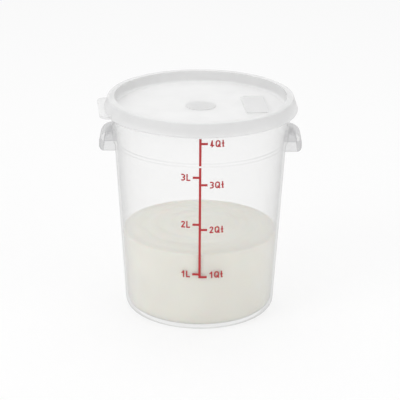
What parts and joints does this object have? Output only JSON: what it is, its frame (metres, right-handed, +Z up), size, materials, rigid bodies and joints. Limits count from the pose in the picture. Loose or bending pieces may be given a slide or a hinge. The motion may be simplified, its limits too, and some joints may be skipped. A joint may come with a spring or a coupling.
{
  "type": "dough proofing container",
  "caption": "round tapered clear plastic food container with side grips, a printed volume scale, dough inside and a recessed push-on lid",
  "frame": {"origin": "on the container's axis, on the surface that it stands on", "axes": "+Z up, the printed scale faces -Y, the side grips point along +X and -X"},
  "size_m": [0.2021, 0.1912, 0.2205],
  "materials": {
    "clear_plastic": "smooth, hazy clear polypropylene",
    "frosted_plastic": "frosted polypropylene",
    "scale_ink": "printed red ink",
    "dough": "soft, moist bread dough"
  },
  "bodies": {
    "container": {"container_shell": "clear_plastic", "handle_left": "clear_plastic", "handle_right": "clear_plastic", "scale_line": "scale_ink", "litre_ticks": "scale_ink", "quart_ticks": "scale_ink", "litre_figures": "scale_ink", "quart_figures": "scale_ink", "dough": "dough"},
    "lid": {"lid_shell": "frosted_plastic", "lid_tab": "frosted_plastic", "lid_label_panel": "frosted_plastic", "lid_centre_boss": "frosted_plastic"}
  },
  "joints": [
    {"name": "lid_lift", "type": "slide", "parent": "container", "child": "lid", "axis": [0, 0, 1], "range_m": [0, 0.1]}
  ]
}
